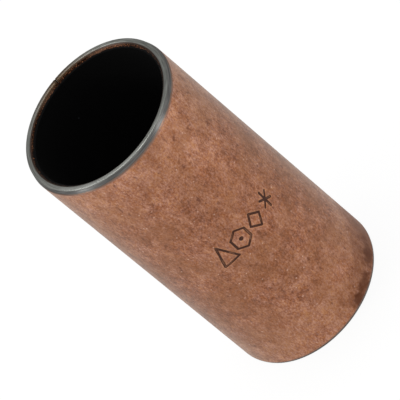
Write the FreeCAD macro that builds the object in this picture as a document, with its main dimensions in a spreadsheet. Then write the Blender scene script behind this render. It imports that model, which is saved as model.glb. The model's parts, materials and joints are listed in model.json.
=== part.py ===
import FreeCAD, Part
import os
import Sketcher

# Plain wrapped bushing: a steel strip with a bronze lining bonded to one side, rolled into a
# tube with the lining inwards. Its cut ends meet in a straight butt seam.
# The tube stands on one end. The bore's axis is +Z, the origin is the middle of the lower end,
# and the seam is at +Y. Lengths are in millimetres and angles in degrees.

doc = FreeCAD.newDocument("bushing")

# Driving sizes. A width is measured across the wall and a length along the bore. The upper and
# lower chamfers are the outer ones, and the inner chamfer is the same at both ends.
DRIVING_SIZES = {
    "bore_diameter": 22.0,
    "lining_thickness": 0.4,
    "steel_thickness": 1.1,
    "tube_length": 50.0,
    "upper_chamfer_width": 0.25,
    "upper_chamfer_length": 0.9,
    "lower_chamfer_width": 0.15,
    "lower_chamfer_length": 0.4,
    "inner_chamfer_width": 0.6,
    "inner_chamfer_length": 0.6,
    "seam_gap": 0.15,
}

# Sizes that follow from the driving ones. The inner chamfer is one cone through both layers,
# so the height at which it crosses the bond between them comes from its slope.
DERIVED_SIZES = {
    "bore_radius": "=bore_diameter / 2",
    "bond_radius": "=bore_radius + lining_thickness",
    "outer_radius": "=bond_radius + steel_thickness",
    "face_inner_radius": "=bore_radius + inner_chamfer_width",
    "upper_face_radius": "=outer_radius - upper_chamfer_width",
    "lower_face_radius": "=outer_radius - lower_chamfer_width",
    "bond_start": "=inner_chamfer_length * (1 - lining_thickness / inner_chamfer_width)",
    "bond_end": "=tube_length - bond_start",
    "bore_start": "=inner_chamfer_length",
    "bore_end": "=tube_length - bore_start",
    "flank_start": "=lower_chamfer_length",
    "flank_end": "=tube_length - upper_chamfer_length",
    "wrap_angle": "=360 - seam_gap / outer_radius * 180 / pi",
}

sheet = doc.addObject("Spreadsheet::Sheet", "Sizes")
for row, (alias, value) in enumerate((DRIVING_SIZES | DERIVED_SIZES).items(), start=1):
    sheet.set(f"A{row}", alias)
    sheet.set(f"B{row}", str(value))
    sheet.setAlias(f"B{row}", alias)
doc.recompute()


def origin_feature(body, role):
    """Return one of a body's own origin planes or axes."""
    return next(item for item in body.Origin.OriginFeatures if item.Role == role)


def draw_section(body, corners):
    """Draw a closed wall section on the -Y side of the axis.

    Each corner is a radius and a height, named as in the sheet. None is the height of the
    lower end, which lies on the ground.
    """
    sketch = body.newObject("Sketcher::SketchObject", f"{body.Name}_section")
    sketch.AttachmentSupport = [(origin_feature(body, "YZ_Plane"), "")]
    sketch.MapMode = "FlatFace"

    points = []
    for radius, height in corners:
        points.append(FreeCAD.Vector(-sheet.get(radius), sheet.get(height) if height else 0, 0))
    for index, point in enumerate(points):
        following = points[(index + 1) % len(points)]
        sketch.addGeometry(Part.LineSegment(point, following), False)

    origin = (-1, 1)
    horizontal_axis = -1
    for index, (radius, height) in enumerate(corners):
        start = (index, 1)
        previous_end = ((index - 1) % len(corners), 2)
        sketch.addConstraint(Sketcher.Constraint("Coincident", *previous_end, *start))
        across = sketch.addConstraint(Sketcher.Constraint("DistanceX", *start, *origin, sheet.get(radius)))
        sketch.setExpression(f"Constraints[{across}]", f"Sizes.{radius}")
        if height is None:
            sketch.addConstraint(Sketcher.Constraint("PointOnObject", *start, horizontal_axis))
        else:
            along = sketch.addConstraint(Sketcher.Constraint("DistanceY", *origin, *start, sheet.get(height)))
            sketch.setExpression(f"Constraints[{along}]", f"Sizes.{height}")
    return sketch


def rolled_layer(label, corners):
    """Roll a wall section half way round to each side, so that the seam is opposite the section."""
    body = doc.addObject("PartDesign::Body", label)
    body.Label = label
    body.Placement = FreeCAD.Placement()
    section = draw_section(body, corners)
    doc.recompute()

    wrap = body.newObject("PartDesign::Revolution", f"{label}_wrap")
    wrap.Profile = section
    wrap.ReferenceAxis = (section, ["V_Axis"])
    wrap.Midplane = True
    wrap.setExpression("Angle", "Sizes.wrap_angle")
    doc.recompute()
    return body


# Steel back: the strip that gives the tube its strength. It has a flat end face between two
# chamfers at each end. The outer ones are steep, and the longer one, at the upper end, guides
# the tube into its housing.
steel_back = rolled_layer("steel_back", [
    ("face_inner_radius", None),
    ("lower_face_radius", None),
    ("outer_radius", "flank_start"),
    ("outer_radius", "flank_end"),
    ("upper_face_radius", "tube_length"),
    ("face_inner_radius", "tube_length"),
    ("bond_radius", "bond_end"),
    ("bond_radius", "bond_start"),
])

# Bearing lining: porous bronze with a dark running layer, bonded inside the steel. The inner
# chamfer bares it as a narrow ring at each end.
bearing_lining = rolled_layer("bearing_lining", [
    ("bond_radius", "bond_start"),
    ("bond_radius", "bond_end"),
    ("bore_radius", "bore_end"),
    ("bore_radius", "bore_start"),
])

# Each object must be free of faults, and each layer one valid solid, before any file is written.
for item in doc.Objects:
    if "Invalid" in item.State or "Error" in item.State:
        raise RuntimeError(f"{item.Label} failed: {item.State}")

layers = [steel_back, bearing_lining]
for layer in layers:
    shape = layer.Shape
    if shape.isNull() or not shape.isValid() or len(shape.Solids) != 1:
        raise RuntimeError(f"{layer.Label} is not one valid solid")

os.makedirs("parts", exist_ok=True)
for layer in layers:
    layer.Shape.exportStep(f"parts/{layer.Label}.step")
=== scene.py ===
import json
import math

import bpy
from mathutils import Euler, Matrix, Vector


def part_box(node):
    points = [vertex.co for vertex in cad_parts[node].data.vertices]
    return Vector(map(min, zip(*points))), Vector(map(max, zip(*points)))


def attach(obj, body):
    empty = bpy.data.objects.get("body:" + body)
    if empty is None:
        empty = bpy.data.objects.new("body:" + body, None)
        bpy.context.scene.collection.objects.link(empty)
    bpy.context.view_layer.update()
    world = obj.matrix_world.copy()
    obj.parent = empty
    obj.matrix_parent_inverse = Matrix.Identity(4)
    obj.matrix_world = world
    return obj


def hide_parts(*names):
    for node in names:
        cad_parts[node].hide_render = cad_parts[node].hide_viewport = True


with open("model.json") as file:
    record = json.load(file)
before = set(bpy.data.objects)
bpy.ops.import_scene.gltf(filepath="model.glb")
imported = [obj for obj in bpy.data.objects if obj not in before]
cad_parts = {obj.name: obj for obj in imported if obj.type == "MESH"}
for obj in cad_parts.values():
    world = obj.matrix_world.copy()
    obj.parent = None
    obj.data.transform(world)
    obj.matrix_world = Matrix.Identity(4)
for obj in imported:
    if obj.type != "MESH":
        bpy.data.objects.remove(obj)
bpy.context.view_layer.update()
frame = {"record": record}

# Steel back: mild steel strip with a thin copper flash, rolled into a tube. Both ends are turned
# after rolling, so the faces and chamfers are bare steel, and the two cut ends of the strip meet
# in a butt seam at the back. A row of plain inspection marks is struck into the front.
MM = 0.001
mounts = {mount["name"]: mount for mount in frame["record"]["mounts"]}
outer_radius = mounts["outside"]["dims"]["r_mm"] * MM
bore_radius = mounts["bore"]["dims"]["r_mm"] * MM
tube_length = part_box("steel_back")[1][2]
flank_middle = mounts["outside"]["pos_m"][2]
flank_length = mounts["outside"]["dims"]["length_mm"] * MM
flank_low = flank_middle - flank_length / 2
flank_high = flank_middle + flank_length / 2
inner_chamfer_length = (tube_length - mounts["bore"]["dims"]["length_mm"] * MM) / 2
upper_chamfer_width = 0.25 * MM
lower_chamfer_width = 0.15 * MM
inner_chamfer_width = 0.6 * MM
lining_thickness = 0.4 * MM
face_edge_round = 0.2 * MM
inner_edge_round = 0.55 * MM
flank_edge_round = 0.8 * MM
lower_edge_round = 0.05 * MM

bond_radius = bore_radius + lining_thickness
bond_start = inner_chamfer_length * (1 - lining_thickness / inner_chamfer_width)

# The solid's box is that of its facets, so the smoother skin lies a little inside it.
facet_allowance = 0.008 * MM
skin_radius = outer_radius - facet_allowance


def add_node(tree, kind, inputs=None, **settings):
    """Add a node and return its first output. An input takes a value, an output or several."""
    node = tree.nodes.new(kind)
    for name, value in settings.items():
        setattr(node, name, value)
    for key, value in (inputs or {}).items():
        if isinstance(key, int):
            socket = node.inputs[key]
        else:
            socket = next(item for item in node.inputs if item.enabled and item.name == key)
        if isinstance(value, bpy.types.NodeSocket):
            tree.links.new(value, socket)
        elif isinstance(value, list):
            for output in value:
                tree.links.new(output, socket)
        else:
            socket.default_value = value
    return next((item for item in node.outputs if item.enabled), None)


def new_tree(name, **inputs):
    """Start a node tree that takes and gives geometry, with further inputs listed by kind."""
    tree = bpy.data.node_groups.new(name, "GeometryNodeTree")
    tree.interface.new_socket("Geometry", in_out="INPUT", socket_type="NodeSocketGeometry")
    for kind, titles in inputs.items():
        for title in titles:
            tree.interface.new_socket(title, in_out="INPUT", socket_type="NodeSocket" + kind)
    tree.interface.new_socket("Geometry", in_out="OUTPUT", socket_type="NodeSocketGeometry")
    return tree, tree.nodes.new("NodeGroupInput").outputs


def run_trees(piece, steps):
    """Run trees on a piece in turn, each with its inputs by name, and keep the plain mesh."""
    crease = math.radians(40)
    for tree, values in steps:
        modifier = piece.modifiers.new(tree.name, "NODES")
        modifier.node_group = tree
        for socket in tree.interface.items_tree:
            if socket.in_out == "INPUT" and socket.name in values:
                modifier[socket.identifier] = values[socket.name]
    evaluated = piece.evaluated_get(bpy.context.evaluated_depsgraph_get())
    mesh = bpy.data.meshes.new_from_object(evaluated)
    piece.modifiers.clear()
    piece.data = mesh
    mesh.shade_smooth()
    mesh.set_sharp_from_angle(angle=crease)


def section_outline(corners):
    """Return the points of a closed section from corners of (radius, height, rounding).

    A rounded corner becomes an arc between two support points, which keep the shading of the
    flat stretches flat. A corner with no rounding stays one point.
    """
    arc_steps = 4
    support = 0.04 * MM
    outline = []
    for index, (across, along, radius) in enumerate(corners):
        corner = Vector((across, along))
        if not radius:
            outline.append(corner)
            continue
        before = (Vector(corners[index - 1][:2]) - corner).normalized()
        after = (Vector(corners[(index + 1) % len(corners)][:2]) - corner).normalized()
        half_angle = before.angle(after) / 2
        tangent = radius / math.tan(half_angle)
        centre = corner + (before + after).normalized() * radius / math.sin(half_angle)
        start = (corner + before * tangent - centre).normalized()
        end = (corner + after * tangent - centre).normalized()
        outline.append(corner + before * (tangent + support))
        for step in range(arc_steps + 1):
            outline.append(centre + start.slerp(end, step / arc_steps) * radius)
        outline.append(corner + after * (tangent + support))
    return outline


def outline_object(name, outline):
    """Make an object of an outline's edges, laid flat for the tree that carries it round."""
    mesh = bpy.data.meshes.new(name)
    points = [(across - bore_radius, -along, 0) for across, along in outline]
    edges = [(index, (index + 1) % len(points)) for index in range(len(points))]
    mesh.from_pydata(points, edges, [])
    piece = bpy.data.objects.new(name, mesh)
    bpy.context.scene.collection.objects.link(piece)
    return piece


def place_round_tube(tree, angle, radius):
    """Return the level place at an angle round from the front and a distance from the axis."""
    side = add_node(tree, "ShaderNodeMath", {0: angle}, operation="SINE")
    front = add_node(tree, "ShaderNodeMath", {0: angle}, operation="COSINE")
    direction = add_node(tree, "ShaderNodeCombineXYZ", {"X": side, "Y": front})
    facing = add_node(tree, "ShaderNodeVectorMath", {
        0: direction, 1: (1, -1, 0)}, operation="MULTIPLY")
    return add_node(tree, "ShaderNodeVectorMath", {0: facing, "Scale": radius}, operation="SCALE")


def rolled_wall_tree():
    """Build the tree that carries an outline from one side of the seam round to the other.

    It takes close steps beside the seam and over one fine arc, and wider ones between them.
    """
    tree, given = new_tree(
        "rolled_wall",
        Float=["Path Radius", "Seam Arc", "Fine Start", "Fine End"],
        Int=["Seam Count", "Fine Count", "Coarse Count"],
        Material=["Material"])
    after_seam = add_node(tree, "ShaderNodeMath", {0: given["Seam Arc"], 1: -math.pi})
    before_seam = add_node(tree, "ShaderNodeMath", {
        0: math.pi, 1: given["Seam Arc"]}, operation="SUBTRACT")
    arcs = [
        (given["Seam Count"], -math.pi, after_seam),
        (given["Coarse Count"], after_seam, given["Fine Start"]),
        (given["Fine Count"], given["Fine Start"], given["Fine End"]),
        (given["Coarse Count"], given["Fine End"], before_seam),
        (given["Seam Count"], before_seam, math.pi),
    ]
    index = add_node(tree, "GeometryNodeInputIndex")
    angle = -math.pi
    passed = 0.0
    for count, first_angle, last_angle in arcs:
        last_index = add_node(tree, "ShaderNodeMath", {0: passed, 1: count})
        sweep = add_node(tree, "ShaderNodeMath", {
            0: last_angle, 1: first_angle}, operation="SUBTRACT")
        turned = add_node(tree, "ShaderNodeMapRange", {
            "Value": index, "From Min": passed, "From Max": last_index, "To Max": sweep})
        angle = add_node(tree, "ShaderNodeMath", {0: angle, 1: turned})
        passed = last_index
    point_count = add_node(tree, "ShaderNodeMath", {0: passed, 1: 1.0})
    place = place_round_tube(tree, angle, given["Path Radius"])
    points = add_node(tree, "GeometryNodeMeshLine", {"Count": point_count})
    path_mesh = add_node(tree, "GeometryNodeSetPosition", {"Geometry": points, "Position": place})
    path = add_node(tree, "GeometryNodeMeshToCurve", {"Mesh": path_mesh})
    upright_path = add_node(tree, "GeometryNodeSetCurveNormal", {"Curve": path}, mode="Z_UP")
    profile = add_node(tree, "GeometryNodeMeshToCurve", {"Mesh": given["Geometry"]})
    wall = add_node(tree, "GeometryNodeCurveToMesh", {
        "Curve": upright_path, "Profile Curve": profile, "Fill Caps": True})
    real = add_node(tree, "GeometryNodeRealizeInstances", {"Geometry": wall})
    finished = add_node(tree, "GeometryNodeSetMaterial", {
        "Geometry": real, "Material": given["Material"]})
    add_node(tree, "NodeGroupOutput", {"Geometry": finished})
    return tree


# The two cut ends of the strip are pressed shut. Their edges are broken, which leaves a fine
# groove along the seam.
seam_reach = 0.12 * MM
seam_steps = 3
seam_depth_across = 0.07 * MM
seam_depth_along = 0.1 * MM


def butt_seam_tree():
    """Build the tree that breaks the wall's edges along the seam and notes where it did."""
    tree, given = new_tree("butt_seam", Float=[
        "Middle Radius", "Middle Height", "Reach", "Share Across", "Share Along"])
    point = add_node(tree, "GeometryNodeInputPosition")
    side = add_node(tree, "ShaderNodeSeparateXYZ", {0: point})
    backward = side.node.outputs["Y"]
    height = side.node.outputs["Z"]
    distance = add_node(tree, "ShaderNodeMath", {0: side}, operation="ABSOLUTE")
    close = add_node(tree, "ShaderNodeMapRange", {
        "Value": distance, "From Min": given["Reach"], "From Max": 0.0},
        interpolation_type="SMOOTHSTEP")
    behind = add_node(tree, "ShaderNodeMath", {0: backward, 1: 0.0}, operation="GREATER_THAN")
    seam = add_node(tree, "ShaderNodeMath", {0: close, 1: behind}, operation="MULTIPLY")
    level = add_node(tree, "ShaderNodeVectorMath", {0: point, 1: (1, 1, 0)}, operation="MULTIPLY")
    outwards = add_node(tree, "ShaderNodeVectorMath", {0: level}, operation="NORMALIZE")
    middle_level = add_node(tree, "ShaderNodeVectorMath", {
        0: outwards, "Scale": given["Middle Radius"]}, operation="SCALE")
    middle_height = add_node(tree, "ShaderNodeCombineXYZ", {"Z": given["Middle Height"]})
    across = add_node(tree, "ShaderNodeVectorMath", {
        0: middle_level, 1: level}, operation="SUBTRACT")
    lift = add_node(tree, "ShaderNodeCombineXYZ", {"Z": height})
    along = add_node(tree, "ShaderNodeVectorMath", {
        0: middle_height, 1: lift}, operation="SUBTRACT")
    share_across = add_node(tree, "ShaderNodeMath", {
        0: seam, 1: given["Share Across"]}, operation="MULTIPLY")
    share_along = add_node(tree, "ShaderNodeMath", {
        0: seam, 1: given["Share Along"]}, operation="MULTIPLY")
    push_across = add_node(tree, "ShaderNodeVectorMath", {
        0: across, "Scale": share_across}, operation="SCALE")
    push_along = add_node(tree, "ShaderNodeVectorMath", {
        0: along, "Scale": share_along}, operation="SCALE")
    push = add_node(tree, "ShaderNodeVectorMath", {0: push_across, 1: push_along})
    noted = add_node(tree, "GeometryNodeStoreNamedAttribute", {
        "Geometry": given["Geometry"], "Name": "seam", "Value": seam},
        data_type="FLOAT", domain="POINT")
    broken = add_node(tree, "GeometryNodeSetPosition", {"Geometry": noted, "Offset": push})
    add_node(tree, "NodeGroupOutput", {"Geometry": broken})
    return tree


# The row of marks, struck by hand one after the other, from left to right. Each is one or more
# outlines in a square of side 1: sides, size, turn and rise. Two sides mean a plain bar.
upright = math.pi / 2
marks = [
    [(3, (0.577, 0.667), upright, -0.167)],
    [(6, (0.577, 0.5), upright, 0), (8, (0.07, 0.05), 0, 0)],
    [(4, (0.45, 0.42), 0, 0)],
    [(2, (0.4, 0.4), turn, 0) for turn in (upright, upright / 3, -upright / 3)],
]
mark_leans = [0.05, -0.03, 0.08, -0.06]
mark_height = 3.85 * MM
mark_width = 2.7 * MM
mark_pitch = 3.33 * MM
mark_row_height = 25.8 * MM
mark_row_start = -3.65 * MM
stroke_width = 0.44 * MM
stroke_slope = 0.12 * MM
stroke_depth = 0.13 * MM
bruise_reach = 0.5 * MM
blow_width = 1.6 * MM


def struck_marks_tree():
    """Build the tree that presses a row of plain marks into the wall, as unevenly as by hand."""
    tree, given = new_tree("struck_marks", Float=[
        "Surface Radius", "Row Start", "Row Height", "Pitch", "Mark Width", "Mark Height",
        "Stroke Width", "Stroke Slope", "Stroke Depth", "Bruise Reach"])
    size = add_node(tree, "ShaderNodeCombineXYZ", {
        "X": given["Mark Width"], "Y": given["Mark Height"], "Z": 1.0})
    row = []
    for index, (outlines, lean) in enumerate(zip(marks, mark_leans)):
        parts = []
        for sides, scale, turn, rise in outlines:
            if sides == 2:
                plain = add_node(tree, "GeometryNodeMeshLine", {
                    "Count": 2, "Start Location": (-1, 0, 0), "Offset": (2, 0, 0)})
            else:
                plain = add_node(tree, "GeometryNodeMeshCircle", {"Vertices": sides, "Radius": 1.0})
            turned = add_node(tree, "GeometryNodeTransform", {
                "Geometry": plain, "Rotation": Euler((0, 0, turn))})
            parts.append(add_node(tree, "GeometryNodeTransform", {
                "Geometry": turned, "Translation": (0, rise, 0), "Scale": (*scale, 1)}))
        joined = add_node(tree, "GeometryNodeJoinGeometry", {"Geometry": parts})
        sized = add_node(tree, "GeometryNodeTransform", {"Geometry": joined, "Scale": size})
        step = add_node(tree, "ShaderNodeMath", {
            0: given["Pitch"], 1: float(index)}, operation="MULTIPLY")
        across = add_node(tree, "ShaderNodeMath", {0: given["Row Start"], 1: step})
        place = add_node(tree, "ShaderNodeCombineXYZ", {"X": across, "Y": given["Row Height"]})
        row.append(add_node(tree, "GeometryNodeTransform", {
            "Geometry": sized, "Translation": place, "Rotation": Euler((0, 0, lean))}))

    # The row is flat so far: X is a length along the surface and Y is a height on the tube.
    joined_row = add_node(tree, "GeometryNodeJoinGeometry", {"Geometry": row})
    fine_row = add_node(tree, "GeometryNodeSubdivideMesh", {"Mesh": joined_row, "Level": 4})
    flat = add_node(tree, "ShaderNodeSeparateXYZ", {0: add_node(tree, "GeometryNodeInputPosition")})
    flat_height = flat.node.outputs["Y"]
    angle = add_node(tree, "ShaderNodeMath", {
        0: flat, 1: given["Surface Radius"]}, operation="DIVIDE")
    ground = place_round_tube(tree, angle, given["Surface Radius"])
    rise = add_node(tree, "ShaderNodeCombineXYZ", {"Z": flat_height})
    wrapped = add_node(tree, "ShaderNodeVectorMath", {0: ground, 1: rise})
    strokes = add_node(tree, "GeometryNodeSetPosition", {"Geometry": fine_row, "Position": wrapped})

    nearest = add_node(tree, "GeometryNodeProximity", {"Geometry": strokes}, target_element="EDGES")
    distance = nearest.node.outputs["Distance"]
    stroke_edge = add_node(tree, "ShaderNodeMath", {
        0: given["Stroke Width"], 1: 0.5}, operation="MULTIPLY")
    stroke_floor = add_node(tree, "ShaderNodeMath", {
        0: stroke_edge, 1: given["Stroke Slope"]}, operation="SUBTRACT")
    pressed = add_node(tree, "ShaderNodeMapRange", {
        "Value": distance, "From Min": stroke_edge, "From Max": stroke_floor},
        interpolation_type="SMOOTHSTEP")

    # Some blows fell short, so the strokes are not equally deep all along.
    blow = add_node(tree, "ShaderNodeTexNoise", {
        "W": 3.0, "Scale": 1 / blow_width, "Detail": 1.0}, noise_dimensions="4D")
    strength = add_node(tree, "ShaderNodeMapRange", {
        "Value": blow, "From Min": 0.35, "From Max": 0.6, "To Min": 0.45, "To Max": 1.0})
    struck = add_node(tree, "ShaderNodeMath", {0: pressed, 1: strength}, operation="MULTIPLY")
    depth = add_node(tree, "ShaderNodeMath", {
        0: struck, 1: given["Stroke Depth"]}, operation="MULTIPLY")
    point = add_node(tree, "GeometryNodeInputPosition")
    level = add_node(tree, "ShaderNodeVectorMath", {0: point, 1: (-1, -1, 0)}, operation="MULTIPLY")
    inwards = add_node(tree, "ShaderNodeVectorMath", {0: level}, operation="NORMALIZE")
    push = add_node(tree, "ShaderNodeVectorMath", {0: inwards, "Scale": depth}, operation="SCALE")
    bruised = add_node(tree, "ShaderNodeMapRange", {
        "Value": distance, "From Min": given["Bruise Reach"], "From Max": stroke_edge},
        interpolation_type="SMOOTHSTEP")
    noted = given["Geometry"]
    for name, amount in (("struck", struck), ("bruised", bruised)):
        noted = add_node(tree, "GeometryNodeStoreNamedAttribute", {
            "Geometry": noted, "Name": name, "Value": amount}, data_type="FLOAT", domain="POINT")
    marked = add_node(tree, "GeometryNodeSetPosition", {"Geometry": noted, "Offset": push})
    add_node(tree, "NodeGroupOutput", {"Geometry": marked})
    return tree


def turned_ends_tree():
    """Build the tree that gives a second finish to everything but the flank of the tube."""
    tree, given = new_tree(
        "turned_ends", Float=["Flank Radius", "Flank Low", "Flank High"], Material=["Material"])
    point = add_node(tree, "GeometryNodeInputPosition")
    height = add_node(tree, "ShaderNodeSeparateXYZ", {0: point}).node.outputs["Z"]
    level = add_node(tree, "ShaderNodeVectorMath", {0: point, 1: (1, 1, 0)}, operation="MULTIPLY")
    radius = add_node(tree, "ShaderNodeVectorMath", {0: level}, operation="LENGTH")
    inside = add_node(tree, "ShaderNodeMath", {
        0: radius, 1: given["Flank Radius"]}, operation="LESS_THAN")
    below = add_node(tree, "ShaderNodeMath", {
        0: height, 1: given["Flank Low"]}, operation="LESS_THAN")
    above = add_node(tree, "ShaderNodeMath", {
        0: height, 1: given["Flank High"]}, operation="GREATER_THAN")
    end = add_node(tree, "ShaderNodeMath", {0: below, 1: above})
    turned = add_node(tree, "ShaderNodeMath", {0: end, 1: inside})
    finished = add_node(tree, "GeometryNodeSetMaterial", {
        "Geometry": given["Geometry"], "Selection": turned, "Material": given["Material"]})
    add_node(tree, "NodeGroupOutput", {"Geometry": finished})
    return tree


def linear(hex_colour):
    """Turn an sRGB hex colour into the linear colour that a node takes."""
    channels = []
    for place in (1, 3, 5):
        value = int(hex_colour[place:place + 2], 16) / 255
        channels.append(value / 12.92 if value <= 0.04045 else ((value + 0.055) / 1.055) ** 2.4)
    return (*channels, 1.0)


def new_material(name):
    """Start a material and return its tree, its surface shader and the object's coordinates."""
    material = bpy.data.materials.new(name)
    material.use_nodes = True
    tree = material.node_tree
    shader = tree.nodes["Principled BSDF"]
    place = add_node(tree, "ShaderNodeTexCoord").node.outputs["Object"]
    return material, tree, shader, place


def distance_from_middle(tree, point, middle):
    """Return how far above or below a middle height a point lies."""
    height = add_node(tree, "ShaderNodeSeparateXYZ", {0: point}).node.outputs["Z"]
    offset = add_node(tree, "ShaderNodeMath", {0: height, 1: middle}, operation="SUBTRACT")
    return add_node(tree, "ShaderNodeMath", {0: offset}, operation="ABSOLUTE")


def copper_flash():
    """Copper flash on rolled steel, a few micrometres thick and handled: dull, brown and mottled.

    Grains of a few tenths of a millimetre drift between pink and orange under broad soft
    patches. There are dark flecks, bright pinpricks that are painted glints, brown oil stains by
    the lower end, grime and painted shade in the struck marks, grime along the seam, and bare
    steel where the flash is worn through beside the chamfers.
    """
    grain_width = 0.25 * MM
    cloud_width = 1.2 * MM
    drift_width = 0.9 * MM
    speckle_width = 0.28 * MM
    patch_width = 5.0 * MM
    fleck_width = 0.6 * MM
    glint_pinprick_spacing = 1.4 * MM
    stain_raggedness = 3.0 * MM
    half_flank = flank_length / 2
    material, tree, shader, place = new_material("copper_flash")

    # The grains are drawn out a little along the tube. W sets each noise apart from the others.
    along = add_node(tree, "ShaderNodeVectorMath", {0: place, 1: (1, 1, 0.6)}, operation="MULTIPLY")
    grain = add_node(tree, "ShaderNodeTexNoise", {
        "Vector": along, "Scale": 1 / grain_width, "Detail": 3.0, "Roughness": 0.8})
    cloud = add_node(tree, "ShaderNodeTexNoise", {
        "Vector": along, "W": 2.0, "Scale": 1 / cloud_width, "Detail": 2.0, "Roughness": 0.6},
        noise_dimensions="4D")
    clouded = add_node(tree, "ShaderNodeMix", {
        "Factor": 0.36, "A": grain, "B": cloud}, data_type="FLOAT")

    # Both ends are a little paler than the middle.
    middle_distance = distance_from_middle(tree, place, flank_middle)
    paler_ends = add_node(tree, "ShaderNodeMapRange", {
        "Value": middle_distance, "From Min": half_flank - 14 * MM, "From Max": half_flank - 4 * MM,
        "To Max": 0.055}, interpolation_type="SMOOTHSTEP")
    tone = add_node(tree, "ShaderNodeMath", {0: clouded, 1: paler_ends})

    # The same tone runs through a pinker and a more orange copper, which drift into each other.
    pink_copper = ("#6C4434", "#9C6D59", "#C1927F")
    orange_copper = ("#6E3D21", "#965B3A", "#B9835A")
    finishes = []
    for dark, middle, light in (pink_copper, orange_copper):
        finish = add_node(tree, "ShaderNodeValToRGB", {"Fac": tone})
        ramp = finish.node.color_ramp
        ramp.elements[0].position = 0.36
        ramp.elements[0].color = linear(dark)
        ramp.elements[1].position = 0.64
        ramp.elements[1].color = linear(light)
        ramp.elements.new(0.5).color = linear(middle)
        finishes.append(finish)
    drift = add_node(tree, "ShaderNodeTexNoise", {
        "Vector": along, "W": 7.0, "Scale": 1 / drift_width, "Detail": 4.0, "Roughness": 0.7},
        noise_dimensions="4D")
    speckle = add_node(tree, "ShaderNodeTexNoise", {
        "Vector": along, "W": 9.0, "Scale": 1 / speckle_width, "Detail": 2.0, "Roughness": 0.8},
        noise_dimensions="4D")
    mottle = add_node(tree, "ShaderNodeMix", {
        "Factor": 0.65, "A": drift, "B": speckle}, data_type="FLOAT")
    drift_amount = add_node(tree, "ShaderNodeMapRange", {
        "Value": mottle, "From Min": 0.4, "From Max": 0.6})
    drifting = add_node(tree, "ShaderNodeMix", {
        "Factor": drift_amount, "A": finishes[0], "B": finishes[1]}, data_type="RGBA")

    # Broad patches and dark flecks lie over the grains, with bright pinpricks that are painted
    # glints.
    patch = add_node(tree, "ShaderNodeTexNoise", {
        "Vector": place, "Scale": 1 / patch_width, "Detail": 4.0, "Roughness": 0.6})
    patch_amount = add_node(tree, "ShaderNodeMapRange", {
        "Value": patch, "From Min": 0.38, "From Max": 0.62, "To Max": 0.42})
    patched = add_node(tree, "ShaderNodeMix", {
        "Factor": patch_amount, "A": drifting, "B": linear("#8A5B3B")}, data_type="RGBA")
    fleck = add_node(tree, "ShaderNodeTexNoise", {
        "Vector": along, "W": 4.0, "Scale": 1 / fleck_width, "Detail": 2.0, "Roughness": 0.5},
        noise_dimensions="4D")
    fleck_amount = add_node(tree, "ShaderNodeMapRange", {
        "Value": fleck, "From Min": 0.62, "From Max": 0.72, "To Max": 0.55})
    flecked = add_node(tree, "ShaderNodeMix", {
        "Factor": fleck_amount, "A": patched, "B": linear("#5A2E22")}, data_type="RGBA")
    glint_pinprick = add_node(tree, "ShaderNodeTexVoronoi", {
        "Vector": place, "Scale": 1 / glint_pinprick_spacing})
    glint_pinprick_amount = add_node(tree, "ShaderNodeMapRange", {
        "Value": glint_pinprick, "From Min": 0.1, "From Max": 0.05, "To Max": 0.5})
    glinted = add_node(tree, "ShaderNodeMix", {
        "Factor": glint_pinprick_amount, "A": flecked, "B": linear("#DDBBA8")}, data_type="RGBA")

    # Oil has soaked two broad soft patches by the lower end, to the right of the marks, and dried
    # to three darker stains with uneven edges in them. Each has its degrees round from the front,
    # its height, the distances at which it fades out and is at its full strength, all three in
    # millimetres, and that strength.
    stained = glinted
    soaked = 0.0
    for turn, level, far, near, strength in (
            (80, 2.0, 13.0, 5.0, 0.62),
            (32, 2.5, 8.0, 3.5, 0.3),
            (51, 1.6, 4.2, 2.6, 0.68),
            (29, 1.4, 4.2, 2.6, 0.66),
            (19, 1.0, 3.6, 2.4, 0.72)):
        middle = math.radians(turn)
        stain_centre = (skin_radius * math.sin(middle), -skin_radius * math.cos(middle), level * MM)
        from_stain = add_node(tree, "ShaderNodeVectorMath", {
            0: place, 1: stain_centre}, operation="SUBTRACT")
        squeezed = add_node(tree, "ShaderNodeVectorMath", {
            0: from_stain, 1: (1, 1, 1.5)}, operation="MULTIPLY")
        reach = add_node(tree, "ShaderNodeVectorMath", {0: squeezed}, operation="LENGTH")
        ragged = add_node(tree, "ShaderNodeMath", {
            0: cloud, 1: stain_raggedness}, operation="MULTIPLY")
        ragged_reach = add_node(tree, "ShaderNodeMath", {0: reach, 1: ragged})
        stain_amount = add_node(tree, "ShaderNodeMapRange", {
            "Value": ragged_reach, "From Min": far * MM, "From Max": near * MM, "To Max": strength},
            interpolation_type="SMOOTHSTEP")
        stained = add_node(tree, "ShaderNodeMix", {
            "Factor": stain_amount, "A": stained, "B": linear("#5A2C12")}, data_type="RGBA")
        soaked = add_node(tree, "ShaderNodeMath", {0: soaked, 1: stain_amount}, operation="MAXIMUM")
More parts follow.
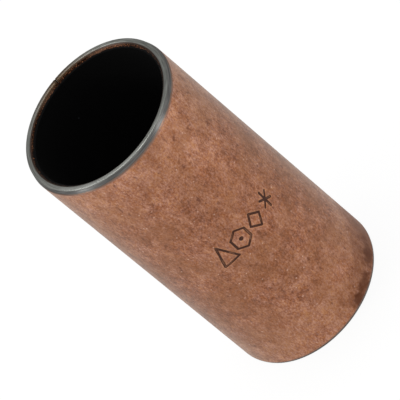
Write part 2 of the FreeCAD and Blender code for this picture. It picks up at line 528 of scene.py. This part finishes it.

    # The blows have scuffed the copper paler around the marks. The marks hold grime and painted
    # shade, darkest on their sloping sides, and grime has filled the seam too.
    bruised = add_node(tree, "ShaderNodeAttribute", attribute_name="bruised").node.outputs["Fac"]
    bruise_amount = add_node(tree, "ShaderNodeMath", {0: bruised, 1: 0.3}, operation="MULTIPLY")
    halo = add_node(tree, "ShaderNodeMix", {
        "Factor": bruise_amount, "A": stained, "B": linear("#BC8660")}, data_type="RGBA")
    struck = add_node(tree, "ShaderNodeAttribute", attribute_name="struck").node.outputs["Fac"]
    # Grime and painted shade in the marks: darkest where a stroke's sides slope, paler on its
    # floor.
    grime_and_shade_amount = add_node(tree, "ShaderNodeValToRGB", {"Fac": struck})
    grime_and_shade_ramp = grime_and_shade_amount.node.color_ramp
    grime_and_shade_ramp.elements[0].position = 0.02
    grime_and_shade_ramp.elements[0].color = (0, 0, 0, 1)
    grime_and_shade_ramp.elements[1].position = 0.98
    grime_and_shade_ramp.elements[1].color = (0.62, 0.62, 0.62, 1)
    grime_and_shade_ramp.elements.new(0.3).color = (0.95, 0.95, 0.95, 1)
    grime_and_shade_ramp.elements.new(0.75).color = (0.92, 0.92, 0.92, 1)
    grimed_and_shaded = add_node(tree, "ShaderNodeMix", {
        "Factor": grime_and_shade_amount, "A": halo, "B": linear("#331A14")}, data_type="RGBA")
    seam = add_node(tree, "ShaderNodeAttribute", attribute_name="seam").node.outputs["Fac"]
    seamed = add_node(tree, "ShaderNodeMix", {
        "Factor": seam, "A": grimed_and_shaded, "B": linear("#2A1C16")}, data_type="RGBA")

    # Steel shows through, with an uneven edge, where the flank meets the chamfers.
    uneven = add_node(tree, "ShaderNodeMath", {0: grain, 1: grain_width}, operation="MULTIPLY")
    worn_reach = add_node(tree, "ShaderNodeMath", {0: middle_distance, 1: uneven})
    worn_amount = add_node(tree, "ShaderNodeMapRange", {
        "Value": worn_reach, "From Min": half_flank - 0.06 * MM, "From Max": half_flank + 0.1 * MM,
        "To Max": 0.6}, interpolation_type="SMOOTHSTEP")
    worn = add_node(tree, "ShaderNodeMix", {
        "Factor": worn_amount, "A": seamed, "B": linear("#666362")}, data_type="RGBA")
    tree.links.new(worn, shader.inputs["Base Color"])
    shader.inputs["Metallic"].default_value = 1.0

    # Where the oil has dried, the copper is duller still.
    roughness = add_node(tree, "ShaderNodeMapRange", {
        "Value": soaked, "From Max": 0.7, "To Min": 0.5, "To Max": 0.8})
    tree.links.new(roughness, shader.inputs["Roughness"])

    # A trace of oil dulls the copper and pales it where it is seen along the surface.
    shader.inputs["Specular Tint"].default_value = (0.72, 0.83, 0.83, 1.0)
    shader.inputs["Coat Weight"].default_value = 0.17
    shader.inputs["Coat Roughness"].default_value = 0.2
    bump = add_node(tree, "ShaderNodeBump", {
        "Height": grain, "Strength": 0.25, "Distance": 0.02 * MM})
    tree.links.new(bump, shader.inputs["Normal"])
    return material


def turned_steel():
    """Bare mild steel, faced and chamfered on a lathe: grey, softly bright, with fine tool rings.

    The rings stretch each highlight across them. Real ones are a few hundredths of a millimetre
    apart, and these are about three times as coarse, so that they show. A little copper is
    smeared over the outer chamfer's edge, and bronze over the inner one.
    """
    ring_spacing = 0.14 * MM
    ring_drift = 0.6 * MM
    smear_width = 0.35 * MM
    smear_depth = 0.08 * MM
    material, tree, shader, place = new_material("turned_steel")
    level = add_node(tree, "ShaderNodeVectorMath", {0: place, 1: (1, 1, 0)}, operation="MULTIPLY")
    radius = add_node(tree, "ShaderNodeVectorMath", {0: level}, operation="LENGTH")
    across_rings = add_node(tree, "ShaderNodeVectorMath", {0: level}, operation="NORMALIZE")
    side, forward, height = add_node(tree, "ShaderNodeSeparateXYZ", {0: place}).node.outputs
    front = add_node(tree, "ShaderNodeMath", {0: forward, 1: -1.0}, operation="MULTIPLY")
    azimuth = add_node(tree, "ShaderNodeMath", {0: side, 1: front}, operation="ARCTAN2")
    round_bore = add_node(tree, "ShaderNodeMath", {0: azimuth, 1: ring_drift}, operation="MULTIPLY")
    unrolled = add_node(tree, "ShaderNodeCombineXYZ", {"X": radius, "Y": height, "Z": round_bore})
    ring = add_node(tree, "ShaderNodeTexNoise", {
        "Vector": unrolled, "Scale": 1 / ring_spacing, "Detail": 2.0, "Roughness": 0.6})
    ring_amount = add_node(tree, "ShaderNodeMapRange", {
        "Value": ring, "From Min": 0.3, "From Max": 0.7})
    face = add_node(tree, "ShaderNodeMix", {
        "Factor": ring_amount, "A": linear("#4C4D4A"), "B": linear("#757672")}, data_type="RGBA")

    # One side of the end faces is painted brighter: painted light.
    bright_side = math.radians(310)
    bright_direction = (math.sin(bright_side), -math.cos(bright_side), 0)
    sideways = add_node(tree, "ShaderNodeVectorMath", {
        0: place, 1: bright_direction}, operation="DOT_PRODUCT")
    painted_light_amount = add_node(tree, "ShaderNodeMapRange", {
        "Value": sideways.node.outputs["Value"], "From Min": 6 * MM, "From Max": 12 * MM,
        "To Max": 0.25})
    painted_light_side = add_node(tree, "ShaderNodeMix", {
        "Factor": painted_light_amount, "A": face, "B": linear("#9A9B97")}, data_type="RGBA")

    # The outer chamfers keep the tool rings and are painted darker than the faces: painted shade.
    chamfer = add_node(tree, "ShaderNodeMix", {
        "Factor": ring_amount, "A": linear("#444342"), "B": linear("#6F6E6C")}, data_type="RGBA")
    face_edge = skin_radius - upper_chamfer_width
    on_chamfer = add_node(tree, "ShaderNodeMapRange", {
        "Value": radius, "From Min": face_edge - 0.03 * MM, "From Max": face_edge + 0.06 * MM},
        interpolation_type="SMOOTHSTEP")
    turned = add_node(tree, "ShaderNodeMix", {
        "Factor": on_chamfer, "A": painted_light_side, "B": chamfer}, data_type="RGBA")

    # The tool has smeared copper over the outer edge and bronze over the inner one.
    smear = add_node(tree, "ShaderNodeTexNoise", {
        "Vector": place, "Scale": 1 / smear_width, "Detail": 3.0, "Roughness": 0.7})
    uneven = add_node(tree, "ShaderNodeMath", {0: smear, 1: smear_depth}, operation="MULTIPLY")
    copper_reach = add_node(tree, "ShaderNodeMath", {0: radius, 1: uneven})
    copper_amount = add_node(tree, "ShaderNodeMapRange", {
        "Value": copper_reach, "From Min": skin_radius - 0.04 * MM,
        "From Max": skin_radius + 0.03 * MM, "To Max": 0.7}, interpolation_type="SMOOTHSTEP")
    coppered = add_node(tree, "ShaderNodeMix", {
        "Factor": copper_amount, "A": turned, "B": linear("#8A6048")}, data_type="RGBA")
    inner_edge = bore_radius + inner_chamfer_width
    bronze_reach = add_node(tree, "ShaderNodeMath", {0: radius, 1: uneven}, operation="SUBTRACT")
    bronze_amount = add_node(tree, "ShaderNodeMapRange", {
        "Value": bronze_reach, "From Min": inner_edge - 0.02 * MM,
        "From Max": inner_edge - 0.1 * MM, "To Max": 0.85}, interpolation_type="SMOOTHSTEP")
    bronzed = add_node(tree, "ShaderNodeMix", {
        "Factor": bronze_amount, "A": coppered, "B": linear("#301D14")}, data_type="RGBA")

    # Oil that wept from the seam has browned both end faces for a few millimetres beside it, and
    # painted shade darkens them there.
    oil_and_shade_centre = (0, skin_radius, 0)
    from_oil_and_shade = add_node(tree, "ShaderNodeVectorMath", {
        0: level, 1: oil_and_shade_centre}, operation="SUBTRACT")
    oil_and_shade_distance = add_node(tree, "ShaderNodeVectorMath", {0: from_oil_and_shade}, operation="LENGTH")
    oil_and_shade_amount = add_node(tree, "ShaderNodeMapRange", {
        "Value": oil_and_shade_distance, "From Min": 9 * MM, "From Max": 0.5 * MM, "To Max": 0.9})
    shaded = add_node(tree, "ShaderNodeMix", {
        "Factor": oil_and_shade_amount, "A": bronzed, "B": linear("#382A1B")}, data_type="RGBA")
    seam = add_node(tree, "ShaderNodeAttribute", attribute_name="seam").node.outputs["Fac"]
    seam_amount = add_node(tree, "ShaderNodeMath", {0: seam, 1: 0.7}, operation="MULTIPLY")
    seamed = add_node(tree, "ShaderNodeMix", {
        "Factor": seam_amount, "A": shaded, "B": linear("#1E1B18")}, data_type="RGBA")
    tree.links.new(seamed, shader.inputs["Base Color"])
    shader.inputs["Metallic"].default_value = 1.0
    shader.inputs["Specular Tint"].default_value = (0.5, 0.5, 0.5, 1.0)
    shader.inputs["Roughness"].default_value = 0.4
    shader.inputs["Anisotropic"].default_value = 0.6
    tree.links.new(across_rings, shader.inputs["Tangent"])
    bump = add_node(tree, "ShaderNodeBump", {
        "Height": ring, "Strength": 0.3, "Distance": 0.02 * MM})
    tree.links.new(bump, shader.inputs["Normal"])
    return material


# The flank has fine rows where the marks are struck and coarse ones above and below. Its lowest
# row is left out of the list, because it is a corner of the outline already.
fine_step = 0.055 * MM
fine_margin = 0.7 * MM
coarse_rows = 4
coarse_turns = 60
fine_low = mark_row_height - mark_height / 2 - fine_margin
fine_high = mark_row_height + mark_height / 2 + fine_margin
fine_rows = math.ceil((fine_high - fine_low) / fine_step)
flank_heights = []
for low, high, rows in ((fine_high, flank_high, coarse_rows), (fine_low, fine_high, fine_rows),
                        (flank_low, fine_low, coarse_rows)):
    for step in range(1, rows + 1):
        flank_heights.append(high - (high - low) * step / rows)
flank_heights.pop()

steel_corners = [
    (skin_radius - lower_chamfer_width, 0, lower_edge_round),
    (bore_radius + inner_chamfer_width, 0, inner_edge_round),
    (bond_radius, bond_start, 0),
    (bond_radius, tube_length - bond_start, 0),
    (bore_radius + inner_chamfer_width, tube_length, inner_edge_round),
    (skin_radius - upper_chamfer_width, tube_length, face_edge_round),
    (skin_radius, flank_high, flank_edge_round),
    *((skin_radius, height, 0) for height in flank_heights),
    (skin_radius, flank_low, flank_edge_round),
]
mark_row_end = mark_row_start + (len(marks) - 1) * mark_pitch
fine_arc_start = (mark_row_start - mark_width / 2 - fine_margin) / skin_radius
fine_arc_end = (mark_row_end + mark_width / 2 + fine_margin) / skin_radius
flank_skin = 0.2 * MM
rolled_wall = rolled_wall_tree()
copper = copper_flash()
steel = turned_steel()
butt_seam = butt_seam_tree()
steel_tube = outline_object("copper_flashed_tube", section_outline(steel_corners))
seam_values = {
    "Middle Radius": (bore_radius + skin_radius) / 2,
    "Middle Height": tube_length / 2,
    "Reach": seam_reach,
    "Share Across": seam_depth_across / ((skin_radius - bore_radius) / 2),
    "Share Along": seam_depth_along / (tube_length / 2),
}
run_trees(steel_tube, [
    (rolled_wall, {
        "Path Radius": bore_radius,
        "Seam Arc": seam_reach / skin_radius,
        "Seam Count": seam_steps,
        "Fine Start": fine_arc_start,
        "Fine End": fine_arc_end,
        "Fine Count": math.ceil((fine_arc_end - fine_arc_start) * skin_radius / fine_step),
        "Coarse Count": coarse_turns,
        "Material": copper,
    }),
    (struck_marks_tree(), {
        "Surface Radius": skin_radius,
        "Row Start": mark_row_start,
        "Row Height": mark_row_height,
        "Pitch": mark_pitch,
        "Mark Width": mark_width,
        "Mark Height": mark_height,
        "Stroke Width": stroke_width,
        "Stroke Slope": stroke_slope,
        "Stroke Depth": stroke_depth,
        "Bruise Reach": bruise_reach,
    }),
    (butt_seam, seam_values),
    (turned_ends_tree(), {
        "Flank Radius": skin_radius - flank_skin,
        "Flank Low": flank_low,
        "Flank High": flank_high,
        "Material": steel,
    }),
])
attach(steel_tube, "root")
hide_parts("steel_back")

# Bearing lining: bronze powder sintered on to the strip, filled and covered with a black polymer
# that the shaft runs on. The inner chamfer is turned through both and bares a narrow ring of the
# bronze, which tears into grains, and the soft polymer smears unevenly over its edge.
grain_size = 0.16 * MM
grain_relief = 0.018 * MM
grain_depth_start = 0.25 * MM
grain_depth_end = 0.55 * MM
lining_step = 0.1 * MM
chamfer_rows = 6
bore_rows = 4
bore_rows_depth = 0.4 * MM


def sintered_grain_tree():
    """Build the tree that roughens the bared ring of bronze at each end."""
    tree, given = new_tree("sintered_grain", Float=[
        "Bond Radius", "Bore Radius", "Bond Start", "Middle Height", "Grain Size", "Relief"])
    point = add_node(tree, "GeometryNodeInputPosition")
    level = add_node(tree, "ShaderNodeVectorMath", {0: point, 1: (1, 1, 0)}, operation="MULTIPLY")
    radius = add_node(tree, "ShaderNodeVectorMath", {0: level}, operation="LENGTH")
    fineness = add_node(tree, "ShaderNodeMath", {
        0: 1.0, 1: given["Grain Size"]}, operation="DIVIDE")
    grain = add_node(tree, "ShaderNodeTexNoise", {"Scale": fineness, "Detail": 1.0})
    lift = add_node(tree, "ShaderNodeMapRange", {
        "Value": grain, "From Min": 0.3, "From Max": 0.7, "To Min": -1.0})
    from_bond = add_node(tree, "ShaderNodeMapRange", {
        "Value": radius, "From Min": given["Bond Radius"], "From Max": given["Bore Radius"]})
    bared = add_node(tree, "ShaderNodeMath", {
        0: from_bond, 1: 4.0}, operation="MULTIPLY", use_clamp=True)
    middle_distance = distance_from_middle(tree, point, given["Middle Height"])
    end_reach = add_node(tree, "ShaderNodeMath", {
        0: given["Middle Height"], 1: given["Bond Start"]}, operation="SUBTRACT")
    to_end = add_node(tree, "ShaderNodeMath", {
        0: end_reach, 1: middle_distance}, operation="SUBTRACT")
    near_end = add_node(tree, "ShaderNodeMapRange", {
        "Value": to_end, "From Min": grain_depth_end, "From Max": grain_depth_start})
    amount = add_node(tree, "ShaderNodeMath", {0: bared, 1: near_end}, operation="MULTIPLY")
    rough = add_node(tree, "ShaderNodeMath", {0: amount, 1: lift}, operation="MULTIPLY")
    offset = add_node(tree, "ShaderNodeMath", {0: rough, 1: given["Relief"]}, operation="MULTIPLY")
    normal = add_node(tree, "GeometryNodeInputNormal")
    push = add_node(tree, "ShaderNodeVectorMath", {0: normal, "Scale": offset}, operation="SCALE")
    rough_wall = add_node(tree, "GeometryNodeSetPosition", {
        "Geometry": given["Geometry"], "Offset": push})
    add_node(tree, "NodeGroupOutput", {"Geometry": rough_wall})
    return tree


def polymer_over_bronze():
    """Black polymer running layer over sintered bronze, cut through by the inner chamfer.

    The polymer is matt and nearly black, with a few pale specks that are painted glints. The
    bronze is brown and granular, with torn grains that catch the light and dark pores between them.
    """
    smear_length = 0.9 * MM
    smear_least = 0.27 * MM
    smear_most = 0.41 * MM
    burnish_width = 5.0 * MM
    glint_speck_spacing = 3.5 * MM
    material, tree, shader, place = new_material("polymer_over_sintered_bronze")
    middle_distance = distance_from_middle(tree, place, tube_length / 2)
    to_end = add_node(tree, "ShaderNodeMath", {
        0: tube_length / 2, 1: middle_distance}, operation="SUBTRACT")
    smear = add_node(tree, "ShaderNodeTexNoise", {
        "Vector": place, "Scale": 1 / smear_length, "Detail": 4.0, "Roughness": 0.7})
    smear_width = add_node(tree, "ShaderNodeMapRange", {
        "Value": smear, "From Min": 0.32, "From Max": 0.68,
        "To Min": smear_least, "To Max": smear_most})

    # The chamfer was turned a little off the bore's axis, so its bronze is wider on one side.
    wide_side = math.radians(140)
    eccentricity = 0.09 * MM
    tilt = eccentricity / bore_radius
    offset = (math.sin(wide_side) * tilt, -math.cos(wide_side) * tilt, 0)
    off_centre = add_node(tree, "ShaderNodeVectorMath", {
        0: place, 1: offset}, operation="DOT_PRODUCT")
    smear_reach = add_node(tree, "ShaderNodeMath", {
        0: smear_width, 1: off_centre.node.outputs["Value"]})
    past_edge = add_node(tree, "ShaderNodeMath", {0: to_end, 1: smear_reach}, operation="SUBTRACT")
    polymer_amount = add_node(tree, "ShaderNodeMapRange", {
        "Value": past_edge, "From Min": -0.02 * MM, "From Max": 0.03 * MM})

    grain = add_node(tree, "ShaderNodeTexNoise", {
        "Vector": place, "Scale": 1 / grain_size, "Detail": 2.0, "Roughness": 0.6})
    bronze = add_node(tree, "ShaderNodeValToRGB", {"Fac": grain})
    ramp = bronze.node.color_ramp
    ramp.elements[0].position = 0.38
    ramp.elements[0].color = linear("#0B0603")
    ramp.elements[1].position = 0.72
    ramp.elements[1].color = linear("#8E5C3E")
    ramp.elements.new(0.56).color = linear("#27150D")
    burnish = add_node(tree, "ShaderNodeTexNoise", {
        "Vector": place, "W": 1.0, "Scale": 1 / burnish_width, "Detail": 2.0},
        noise_dimensions="4D")
    burnish_amount = add_node(tree, "ShaderNodeMapRange", {
        "Value": burnish, "From Min": 0.5, "From Max": 0.65, "To Max": 0.3})
    burnished = add_node(tree, "ShaderNodeMix", {
        "Factor": burnish_amount, "A": bronze, "B": linear("#6A5040")}, data_type="RGBA")
    seam = add_node(tree, "ShaderNodeAttribute", attribute_name="seam").node.outputs["Fac"]
    seamed = add_node(tree, "ShaderNodeMix", {
        "Factor": seam, "A": burnished, "B": linear("#0E0A08")}, data_type="RGBA")
    # Pale specks on the polymer are painted glints.
    glint_speck = add_node(tree, "ShaderNodeTexVoronoi", {"Vector": place, "Scale": 1 / glint_speck_spacing})
    glint_speck_amount = add_node(tree, "ShaderNodeMapRange", {
        "Value": glint_speck, "From Min": 0.035, "From Max": 0.02, "To Max": 0.6})
    polymer = add_node(tree, "ShaderNodeMix", {
        "Factor": glint_speck_amount, "A": linear("#090909"), "B": linear("#5A6062")}, data_type="RGBA")
    colour = add_node(tree, "ShaderNodeMix", {
        "Factor": polymer_amount, "A": seamed, "B": polymer}, data_type="RGBA")
    tree.links.new(colour, shader.inputs["Base Color"])
    bare_amount = add_node(tree, "ShaderNodeMath", {
        0: 1.0, 1: polymer_amount}, operation="SUBTRACT")
    tree.links.new(bare_amount, shader.inputs["Metallic"])
    roughness = add_node(tree, "ShaderNodeMapRange", {
        "Value": polymer_amount, "To Min": 0.45, "To Max": 0.8})
    tree.links.new(roughness, shader.inputs["Roughness"])
    shader.inputs["Specular IOR Level"].default_value = 0.03
    return material


bore_heights = []
for step in range(1, bore_rows + 1):
    bore_heights.append(inner_chamfer_length + bore_rows_depth * step / bore_rows)
chamfer_points = []
for step in range(1, chamfer_rows):
    share = step / chamfer_rows
    chamfer_points.append((
        bond_radius + (bore_radius - bond_radius) * share,
        bond_start + (inner_chamfer_length - bond_start) * share))
lining_corners = [
    (bond_radius, bond_start, 0),
    *((across, along, 0) for across, along in chamfer_points),
    (bore_radius, inner_chamfer_length, 0),
    *((bore_radius, along, 0) for along in bore_heights),
    *((bore_radius, tube_length - along, 0) for along in reversed(bore_heights)),
    (bore_radius, tube_length - inner_chamfer_length, 0),
    *((across, tube_length - along, 0) for across, along in reversed(chamfer_points)),
    (bond_radius, tube_length - bond_start, 0),
]
lining = outline_object("bronze_and_polymer_lining", section_outline(lining_corners))
run_trees(lining, [
    (rolled_wall, {
        "Path Radius": bore_radius,
        "Seam Arc": seam_reach / skin_radius,
        "Seam Count": seam_steps,
        "Fine Start": seam_reach / skin_radius - math.pi,
        "Fine End": math.pi - seam_reach / skin_radius,
        "Fine Count": math.ceil(2 * math.pi * bore_radius / lining_step),
        "Coarse Count": 0,
        "Material": polymer_over_bronze(),
    }),
    (sintered_grain_tree(), {
        "Bond Radius": bond_radius,
        "Bore Radius": bore_radius,
        "Bond Start": bond_start,
        "Middle Height": tube_length / 2,
        "Grain Size": grain_size,
        "Relief": grain_relief,
    }),
    (butt_seam, seam_values),
])
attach(lining, "root")
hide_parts("bearing_lining")

# Studio: a broad white floor under an even white sky, with soft lamps whose reflections lie in
# the turned rim. The floor keeps a faint shadow of the tube.
floor_side = 3.0
floor_glow = 0.94
floor_white = 0.98
sky_light = 0.95
sky_white = 1.0


def background_view(tree):
    """Return 1 for a ray that shows the background: straight, mirrored or through glass."""
    ray = add_node(tree, "ShaderNodeLightPath").node.outputs
    mirrored = add_node(tree, "ShaderNodeMath", {
        0: ray["Is Glossy Ray"], 1: ray["Is Transmission Ray"]}, operation="MAXIMUM")
    return add_node(tree, "ShaderNodeMath", {
        0: ray["Is Camera Ray"], 1: mirrored}, operation="MAXIMUM")


def white_floor():
    """Matt white board: it shows as white to the camera and in the metal, and holds a shadow."""
    board_grain = 2.0 * MM
    material, tree, shader, place = new_material("matt_white_board")
    texture = add_node(tree, "ShaderNodeTexNoise", {
        "Vector": place, "Scale": 1 / board_grain, "Detail": 2.0})
    bump = add_node(tree, "ShaderNodeBump", {
        "Height": texture, "Strength": 0.05, "Distance": 0.05 * MM})
    tree.links.new(bump, shader.inputs["Normal"])
    shader.inputs["Base Color"].default_value = linear("#FAFAFA")
    shader.inputs["Roughness"].default_value = 0.9
    shown = background_view(tree)
    glow_amount = add_node(tree, "ShaderNodeMath", {0: shown, 1: floor_glow}, operation="MULTIPLY")
    glow = add_node(tree, "ShaderNodeEmission", {"Color": (1, 1, 1, 1), "Strength": floor_white})
    surface = add_node(tree, "ShaderNodeMixShader", {0: glow_amount, 1: shader.outputs[0], 2: glow})
    tree.links.new(surface, tree.nodes["Material Output"].inputs["Surface"])
    return material


floor_mesh = bpy.data.meshes.new("floor")
half_floor = floor_side / 2
floor_mesh.from_pydata([
    (-half_floor, -half_floor, 0), (half_floor, -half_floor, 0),
    (half_floor, half_floor, 0), (-half_floor, half_floor, 0)], [], [(0, 1, 2, 3)])
floor = bpy.data.objects.new("floor", floor_mesh)
floor.data.materials.append(white_floor())
bpy.context.scene.collection.objects.link(floor)

world = bpy.data.worlds.new("white_sky")
bpy.context.scene.world = world
world.use_nodes = True
sky_tree = world.node_tree
sky_strength = add_node(sky_tree, "ShaderNodeMapRange", {
    "Value": background_view(sky_tree), "To Min": sky_light, "To Max": sky_white})
background = sky_tree.nodes["Background"]
background.inputs["Color"].default_value = (1, 1, 1, 1)
sky_tree.links.new(sky_strength, background.inputs["Strength"])

rim_centre = Vector((0, 0, tube_length))
for name, direction, distance, side, power in (
        ("overhead_lamp", (0.08, 0.15, 0.98), 0.6, 0.2, 1.5),
        ("overhead_left_lamp", (-0.25, 0.1, 0.96), 0.6, 0.2, 0.5),
        ("high_back_lamp", (-0.32, 0.38, 0.87), 0.6, 0.2, 0.53),
        ("left_lamp", (-0.87, 0.04, 0.49), 0.6, 0.2, 1.1),
        ("low_right_lamp", (0.62, -0.76, -0.12), 0.22, 0.05, 0.074),
        ("low_left_lamp", (-0.95, -0.17, -0.2), 0.16, 0.05, 0.026)):
    lamp_data = bpy.data.lights.new(name, "AREA")
    lamp_data.shape = "DISK"
    lamp_data.size = side
    lamp_data.energy = power
    lamp = bpy.data.objects.new(name, lamp_data)
    towards_lamp = Vector(direction).normalized()
    lamp.location = rim_centre + towards_lamp * distance
    lamp.rotation_euler = towards_lamp.to_track_quat("Z", "Y").to_euler()
    bpy.context.scene.collection.objects.link(lamp)

# Camera: it looks down on the near rim from the front. Its place comes from where the middle of
# the upper rim lies in the 400-pixel picture and how many pixels the outer radius takes there.
picture_side = 400
focal_pixels = 5200
rim_pixel = (95.92, 113.92)
radius_pixels = 90.34
camera_tilt = math.radians(50.0)
camera_roll = math.radians(-50.05)
sensor_side = 36.0

camera_distance = focal_pixels / radius_pixels * outer_radius
turn = Matrix.Rotation(camera_tilt, 3, "X") @ Matrix.Rotation(camera_roll, 3, "Z")
rim_in_view = Vector((
    (rim_pixel[0] - picture_side / 2) / focal_pixels * camera_distance,
    -(rim_pixel[1] - picture_side / 2) / focal_pixels * camera_distance,
    -camera_distance))
camera_data = bpy.data.cameras.new("camera")
camera_data.sensor_width = sensor_side
camera_data.lens = focal_pixels / picture_side * sensor_side
camera_data.clip_start = 0.01
camera = bpy.data.objects.new("camera", camera_data)
camera.location = rim_centre - turn @ rim_in_view
camera.rotation_euler = turn.to_euler()
bpy.context.scene.collection.objects.link(camera)
bpy.context.scene.camera = camera
bpy.context.scene.view_settings.view_transform = "Standard"
